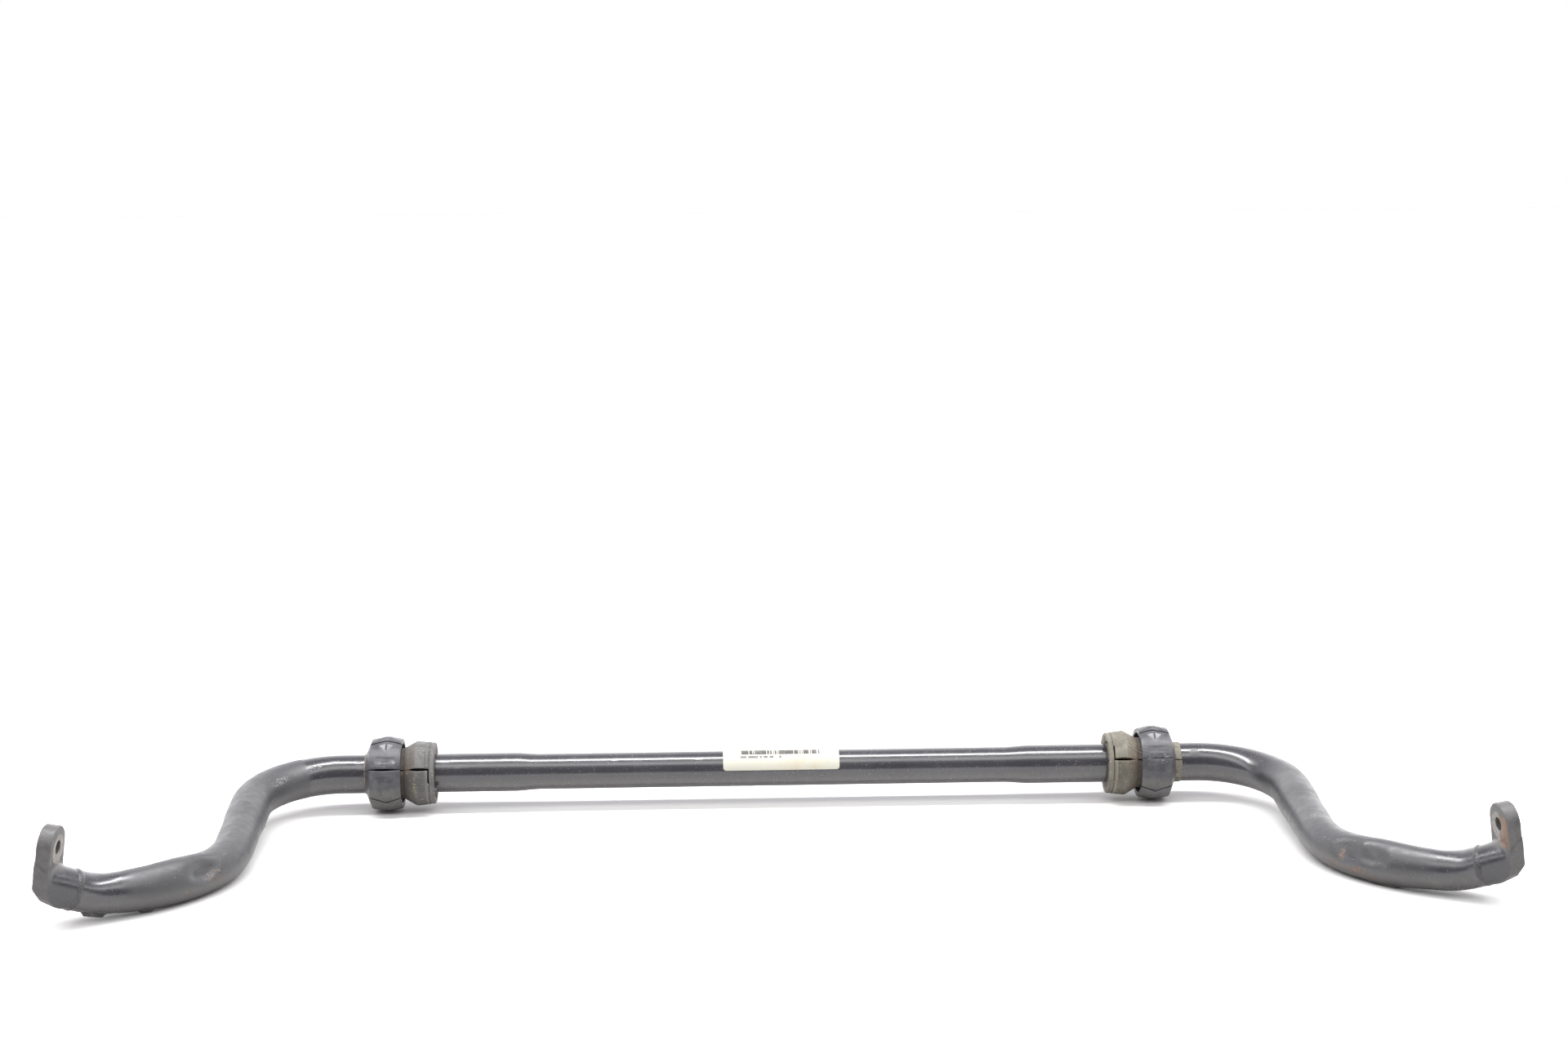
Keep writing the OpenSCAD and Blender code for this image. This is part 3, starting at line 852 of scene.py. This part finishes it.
class Shade(Nodes):
    """One material, and short names for the nodes that it is made of."""

    def __init__(self, name, roughness, **settings):
        self.material = bpy.data.materials.new(name)
        self.material.use_nodes = True
        tree = self.material.node_tree
        super().__init__(tree, tree.nodes["Principled BSDF"])
        self.place = self.node("TexCoord", {}).outputs["Object"]
        self.feed("Roughness", roughness)
        for socket, value in settings.items():
            self.feed(socket, value)

    def grain(self, size, detail, stretch=(1, 1, 1)):
        """Noise around 0.5 with features of a size in mm, drawn out along the axes by stretch."""
        scale = tuple(1 / (size * MM * s) for s in stretch)
        at = self.node("Mapping", {"Vector": self.place, "Scale": scale}).outputs[0]
        return self.node("TexNoise", {"Vector": at, "Scale": 1.0, "Detail": detail}).outputs[0]

    def between(self, value, low, high, first=0.0, last=1.0):
        """first to last as value goes from low to high, with soft ends."""
        inputs = {"Value": value, "From Min": low, "From Max": high, "To Min": first, "To Max": last}
        return self.node("MapRange", inputs, interpolation_type="SMOOTHSTEP").outputs[0]

    def plus(self, a, b):
        return self.calc("ADD", a, b)

    def times(self, a, b):
        return self.calc("MULTIPLY", a, b)

    def larger(self, a, b):
        return self.calc("MAXIMUM", a, b)

    def rest(self, a):
        """What is left of 1."""
        return self.calc("SUBTRACT", 1.0, a)

    def mask(self, name):
        return self.node("Attribute", {}, attribute_name=name).outputs["Fac"]

    def patchy(self, name, noise, soft=0.1, raggedness=2.5):
        """A mesh mask whose edge is broken up by noise."""
        ragged = self.times(self.plus(noise, -0.5), raggedness)
        return self.between(self.plus(ragged, self.mask(name)), 0.5, 0.5 + soft)

    def mix(self, factor, a, b):
        """Colour a where the factor is 0, and b where it is 1."""
        node = self.tree.nodes.new("ShaderNodeMix")
        node.data_type = "RGBA"
        for index, value in ((0, factor), (6, a), (7, b)):
            if isinstance(value, tuple):
                value = (*value, 1.0)
            self.feed(index, value, node)
        return node.outputs[2]

    def over(self, base, cover, strength, colour):
        """The base under a cover of a colour, which hides it by no more than its strength."""
        return self.mix(self.times(cover, strength), base, colour)

    def mottled(self, noise, low, high, first, second):
        """One colour going over into another as the noise goes from low to high."""
        return self.mix(self.between(noise, low, high), first, second)

    def relief(self, *layers):
        """Bumps, each a height from 0 to 1 and its depth in mm, one on top of the other."""
        normal = None
        for height, depth in layers:
            node = self.node("Bump", {"Height": height, "Distance": depth * MM, "Strength": 1.0})
            if normal:
                self.feed("Normal", normal, node)
            normal = node.outputs[0]
        self.feed("Normal", normal)


def rust_colour(m):
    """Orange to brown iron rust with darker pits."""
    bright = m.mottled(m.grain(3.5, 4), 0.35, 0.65, (0.105, 0.055, 0.034), (0.14, 0.090, 0.064))
    return m.mottled(m.grain(1.2, 5), 0.5, 0.66, bright, (0.06, 0.035, 0.026))


def black_paint():
    """Stove-enamelled steel: gloss on the span, satin with road dust on the arms, rust in chips."""
    m = Shade("black_paint", 0.3, IOR=1.7)
    fine, coarse, cloud = m.grain(1.1, 5), m.grain(7, 5), m.grain(45, 3)
    paint = m.mottled(cloud, 0.3, 0.7, (0.026, 0.025, 0.029), (0.034, 0.033, 0.037))
    film = m.times(m.mask("satin"), m.between(coarse, 0.2, 0.75, 0.82, 1.0))
    paint = m.over(paint, film, 0.8, (0.020, 0.020, 0.022))
    # The underside is painted lighter: painted light from the bright floor, with a warm tint of dust
    below = m.times(m.mask("under"), m.between(coarse, 0.2, 0.8, 0.35, 0.75))
    paint = m.mix(below, paint, (0.072, 0.068, 0.064))
    scratch = m.between(m.grain(0.7, 2, (22, 1, 1)), 0.70, 0.76)
    speck = m.between(m.grain(1.7, 2), 0.73, 0.78)
    paint = m.over(paint, m.larger(scratch, speck), 0.16, (0.20, 0.195, 0.19))
    dust = m.patchy("dust", coarse, 0.6, 1.5)
    paint = m.over(paint, dust, 0.8, (0.105, 0.104, 0.10))
    # Light grey where the paint is worn, and a painted highlight on the left arm's first bend
    wear_and_highlight = m.patchy("wear_and_highlight", fine, 0.3, 3.5)
    paint = m.over(paint, wear_and_highlight, 0.75, (0.19, 0.19, 0.19))
    # Darker where grimy, and painted shade in the pressed hollows
    grime_and_hollow_shade = m.patchy("grime_and_hollow_shade", coarse, 0.5, 1.0)
    paint = m.over(paint, grime_and_hollow_shade, 0.85, (0.020, 0.019, 0.020))
    rust = m.times(m.patchy("rust", m.grain(2.6, 5), 0.4, 2.5), 0.85)
    m.feed("Base Color", m.mix(rust, paint, rust_colour(m)))
    roughness = m.plus(m.between(coarse, 0.25, 0.75, 0.16, 0.23), m.times(film, 0.33))
    dirty = m.larger(m.larger(rust, dust), grime_and_hollow_shade)
    roughness = m.plus(roughness, m.times(dirty, 0.30))
    m.feed("Roughness", m.plus(roughness, m.times(wear_and_highlight, 0.2)))
    m.relief((m.grain(4.5, 2), 0.03), (m.times(fine, film), 0.03), (m.times(rust, fine), 0.35),
             (m.rest(wear_and_highlight), 0.06))
    return m.material


def forged_steel():
    """Painted forging with a coarse skin, bare round the bored hole and rusty beside it."""
    m = Shade("forged_steel", 0.5, IOR=1.6)
    fine, coarse = m.grain(0.9, 5), m.grain(6, 4)
    paint = m.mottled(coarse, 0.3, 0.7, (0.052, 0.050, 0.049), (0.075, 0.072, 0.070))
    paint = m.mottled(fine, 0.58, 0.72, paint, (0.11, 0.105, 0.10))
    gloss = m.mask("gloss")
    paint = m.mix(gloss, paint, (0.030, 0.029, 0.033))
    bare = m.patchy("bare", coarse, 0.5, 0.8)
    metal = m.mottled(m.grain(2.5, 4), 0.35, 0.65, (0.15, 0.135, 0.12), (0.25, 0.235, 0.215))
    steel = m.mix(bare, paint, metal)
    rust = m.times(m.patchy("rust", m.grain(3, 4), 0.4, 0.9), 0.9)
    m.feed("Base Color", m.mix(rust, steel, (0.125, 0.072, 0.042)))
    m.feed("Metallic", m.times(bare, m.plus(0.35, m.times(rust, -0.35))))
    m.feed("Roughness", m.plus(m.between(coarse, 0.2, 0.8, 0.42, 0.58), m.times(gloss, -0.25)))
    skin = m.rest(m.times(gloss, 0.8))
    m.relief((m.times(fine, skin), 0.12), (m.times(coarse, skin), 0.25))
    return m.material


def weld_metal():
    """Painted weld bead with spatter."""
    m = Shade("weld_bead", 0.42, IOR=1.5)
    fine = m.grain(0.8, 4)
    base = m.mottled(m.grain(5, 3), 0.3, 0.7, (0.030, 0.029, 0.031), (0.050, 0.048, 0.049))
    m.feed("Base Color", m.mottled(fine, 0.6, 0.72, base, (0.075, 0.072, 0.070)))
    m.feed("Roughness", m.between(fine, 0.3, 0.7, 0.24, 0.42))
    m.relief((fine, 0.15))
    return m.material


def crown_plastic():
    """Black moulded plastic, scuffed pale above the split and lighter and browner towards the bottom.
    """
    m = Shade("crown_plastic", 0.45, IOR=1.48)
    fine, coarse = m.grain(0.9, 5), m.grain(5, 4)
    base = m.mottled(coarse, 0.3, 0.7, (0.040, 0.040, 0.045), (0.062, 0.062, 0.067))
    # Lighter and browner towards the bottom of the ring
    dirt = m.patchy("dust", coarse, 0.6, 1.2)
    base = m.over(base, dirt, 0.7, (0.090, 0.085, 0.078))
    # Painted shade in the pocket below the split
    base = m.over(base, m.mask("dark"), 0.7, (0.030, 0.030, 0.033))
    scuff = m.patchy("scuff", m.grain(1.3, 5, (2.2, 1, 1)), 0.35, 3.0)
    base = m.over(base, scuff, 0.7, (0.22, 0.22, 0.245))
    # Painted highlight on the tops of the wings
    wing = m.times(m.mask("wing"), m.between(fine, 0.3, 0.5, 0.5, 0.9))
    base = m.mix(wing, base, (0.25, 0.25, 0.255))
    # Painted shade in the chevron grooves
    base = m.over(base, m.mask("line"), 0.9, (0.020, 0.019, 0.021))
    worn = m.times(m.between(m.grain(9, 5), 0.52, 0.66), 0.45)
    base = m.mix(worn, base, (0.088, 0.090, 0.10))
    speck = m.between(m.grain(1.0, 2), 0.68, 0.74)
    m.feed("Base Color", m.over(base, speck, 0.4, (0.17, 0.165, 0.155)))
    m.feed("Roughness", m.between(coarse, 0.25, 0.75, 0.34, 0.52))
    m.relief((fine, 0.06), (coarse, 0.15))
    return m.material


def collar_plastic(name, clean, dusty, stain, cone):
    """Moulded plastic under road dust, with yellow and brown stains. Each bush has its own shade."""
    m = Shade(name, 0.6, IOR=1.46)
    fine, coarse, cloud = m.grain(0.8, 5), m.grain(3.5, 5), m.grain(12, 3)
    base = m.mottled(cloud, 0.35, 0.65, clean, dusty)
    base = m.mottled(coarse, 0.57, 0.70, base, tuple(1.35 * c for c in dusty))
    base = m.over(base, m.mask("cone"), 0.85, cone)
    # Painted shade: darker below the split
    base = m.over(base, m.mask("under"), 0.45, tuple(0.62 * c for c in clean))
    brown = m.patchy("slit", coarse, 0.6, 1.0)
    base = m.over(base, brown, 0.6, (0.12, 0.08, 0.055))
    base = m.over(base, m.mask("rib"), 0.5, tuple(1.5 * c for c in dusty))
    base = m.over(base, m.patchy("yellow", m.grain(1.5, 4), 0.3, 3.5), 0.8, stain)
    base = m.over(base, m.mask("tab"), 0.85, (0.030, 0.027, 0.030))
    base = m.over(base, m.between(m.grain(2.2, 3), 0.64, 0.70), 0.75, stain)
    m.feed("Base Color", base)
    m.feed("Roughness", m.between(coarse, 0.25, 0.75, 0.5, 0.75))
    m.relief((fine, 0.08), (coarse, 0.18))
    return m.material


def rubber():
    """Old rubber, brown with fine dirt near the slit."""
    m = Shade("bush_rubber", 0.75, IOR=1.5)
    coarse = m.grain(3, 5)
    base = m.mottled(coarse, 0.35, 0.65, (0.060, 0.050, 0.041), (0.105, 0.088, 0.070))
    base = m.over(base, m.mask("slit"), 0.5, (0.125, 0.088, 0.062))
    # Painted shade: darker below the split
    base = m.over(base, m.mask("under"), 0.6, (0.042, 0.034, 0.032))
    m.feed("Base Color", m.over(base, m.mask("rib"), 0.6, (0.20, 0.175, 0.12)))
    m.relief((m.grain(0.8, 4), 0.08), (coarse, 0.2))
    return m.material


def liner():
    """Cream sleeve gone tan and brown."""
    m = Shade("liner_plastic", 0.6, IOR=1.46)
    coarse = m.grain(3, 5)
    base = m.mottled(coarse, 0.35, 0.65, (0.115, 0.100, 0.080), (0.19, 0.170, 0.135))
    m.feed("Base Color", m.mottled(m.grain(6, 3), 0.55, 0.7, base, (0.055, 0.045, 0.036)))
    m.relief((coarse, 0.08))
    return m.material


def paper():
    """Cream paper with plain generic bars, a row of dashes and yellow stains."""
    m = Shade("paper_label", 0.55, IOR=1.45)
    x, y = m.mask("across"), m.mask("around")

    def window(value, low, high):
        soft = 0.004
        return m.times(m.between(value, low - soft, low), m.between(value, high, high + soft, 1.0, 0.0))

    def strokes(left, right, low, high, count, gaps):
        """Upright strokes inside a box: of the count across the label, a random share is left out."""
        box = m.times(window(x, left, right), window(y, low, high))
        cell = m.calc("FLOOR", m.times(x, count))
        random = m.node("TexWhiteNoise", {"W": cell}, noise_dimensions="1D").outputs[0]
        return m.times(box, m.between(random, gaps, gaps + 0.01))

    stain = m.between(m.grain(14, 4), 0.5, 0.75)
    more_right = m.plus(0.3, m.times(m.between(x, 0.4, 0.9), 0.7))
    base = m.mix(m.times(stain, more_right), (0.43, 0.42, 0.36), (0.40, 0.345, 0.23))
    bars = strokes(0.16, 0.83, 0.535, 0.80, 150, 0.15)
    dashes = strokes(0.15, 0.50, 0.39, 0.47, 60, 0.3)
    faded = m.between(m.grain(4, 3), 0.3, 0.55, 0.8, 1.0)
    ink = m.times(m.plus(bars, m.times(dashes, 0.85)), faded)
    m.feed("Base Color", m.mix(ink, base, (0.07, 0.068, 0.064)))
    m.feed("Roughness", m.between(stain, 0.0, 1.0, 0.5, 0.7))
    m.relief((m.grain(1.2, 4), 0.03), (m.grain(11, 2), 0.12))
    return m.material


# ---------------- the studio
def add_floor():
    """Plain pale floor under the crown rings and the arm elbows."""
    mesh = bpy.data.meshes.new("floor")
    size = 8.0
    corners = [(x * size, y * size, cad_low.z) for x, y in ((-1, -1), (1, -1), (1, 1), (-1, 1))]
    mesh.from_pydata(corners, [], [(0, 1, 2, 3)])
    m = Shade("floor_paper", 0.8)
    m.feed("Base Color", (0.67, 0.665, 0.655, 1.0))
    mesh.materials.append(m.material)
    floor = placed("floor", mesh)


def add_light():
    """A long soft light overhead, and a room that is bright above and dim towards the camera."""
    data = bpy.data.lights.new("overhead", "AREA")
    data.shape = "RECTANGLE"
    data.size, data.size_y = 4.0, 0.32
    data.energy = 96.0
    lamp = placed("overhead", data)
    lamp.location = (0, -0.05, 2.0)
    world = bpy.data.worlds.new("room")
    bpy.context.scene.world = world
    world.use_nodes = True
    world.node_tree.nodes.clear()
    w = Nodes(world.node_tree)
    # The angle of a direction above the level, from the camera's side over the top
    direction = w.node("SeparateXYZ", {0: w.node("TexCoord", {}).outputs["Generated"]}).outputs
    angle = w.calc("ARCTAN2", direction["Z"], w.calc("MULTIPLY", direction["Y"], -1.0))
    ramp = w.node("ValToRGB", {0: w.calc("DIVIDE", angle, math.pi)})
    stops = ramp.color_ramp.elements
    for degrees, brightness in ROOM:
        tint = ROOM_DIM if brightness < 1 else (1, 1, 1)
        stop = stops.new(degrees / 180)
        stop.color = (*(brightness / ROOM_PEAK * c for c in tint), 1)
    # The ramp's own first and last stops go
    stops.remove(stops[0])
    stops.remove(stops[len(stops) - 1])
    # The camera itself sees a plain white room
    room = w.node("Background", {0: ramp.outputs[0], 1: ROOM_PEAK}).outputs[0]
    plain = w.node("Background", {0: (1, 1, 1, 1)}).outputs[0]
    seen = w.node("LightPath", {}).outputs["Is Camera Ray"]
    w.node("OutputWorld", {0: w.node("MixShader", {0: seen, 1: room, 2: plain}).outputs[0]})


# ---------------- the whole
def main():
    add_camera()
    add_floor()
    add_light()
    bpy.context.scene.view_settings.view_transform = "Standard"
    path = add_bar(black_paint())
    end, heading = path[1][-1], path[2][-1]
    forging, bead, crown = forged_steel(), weld_metal(), crown_plastic()
    body, sleeve = rubber(), liner()
    collars = {"left": collar_plastic("left_collar_plastic", *LEFT_DUST),
               "right": collar_plastic("right_collar_plastic", *RIGHT_DUST)}
    for side in SIDES:
        add_eye(side, end, heading, forging)
        add_weld(side, end, heading, bead)
        for leading in (True, False):
            add_crown_half(side, leading, crown)
            add_collar_half(side, leading, collars[side])
        add_stop_ring(side, collars[side])
        add_rubber(side, body)
        add_liner(side, sleeve)
    add_label(paper())


main()
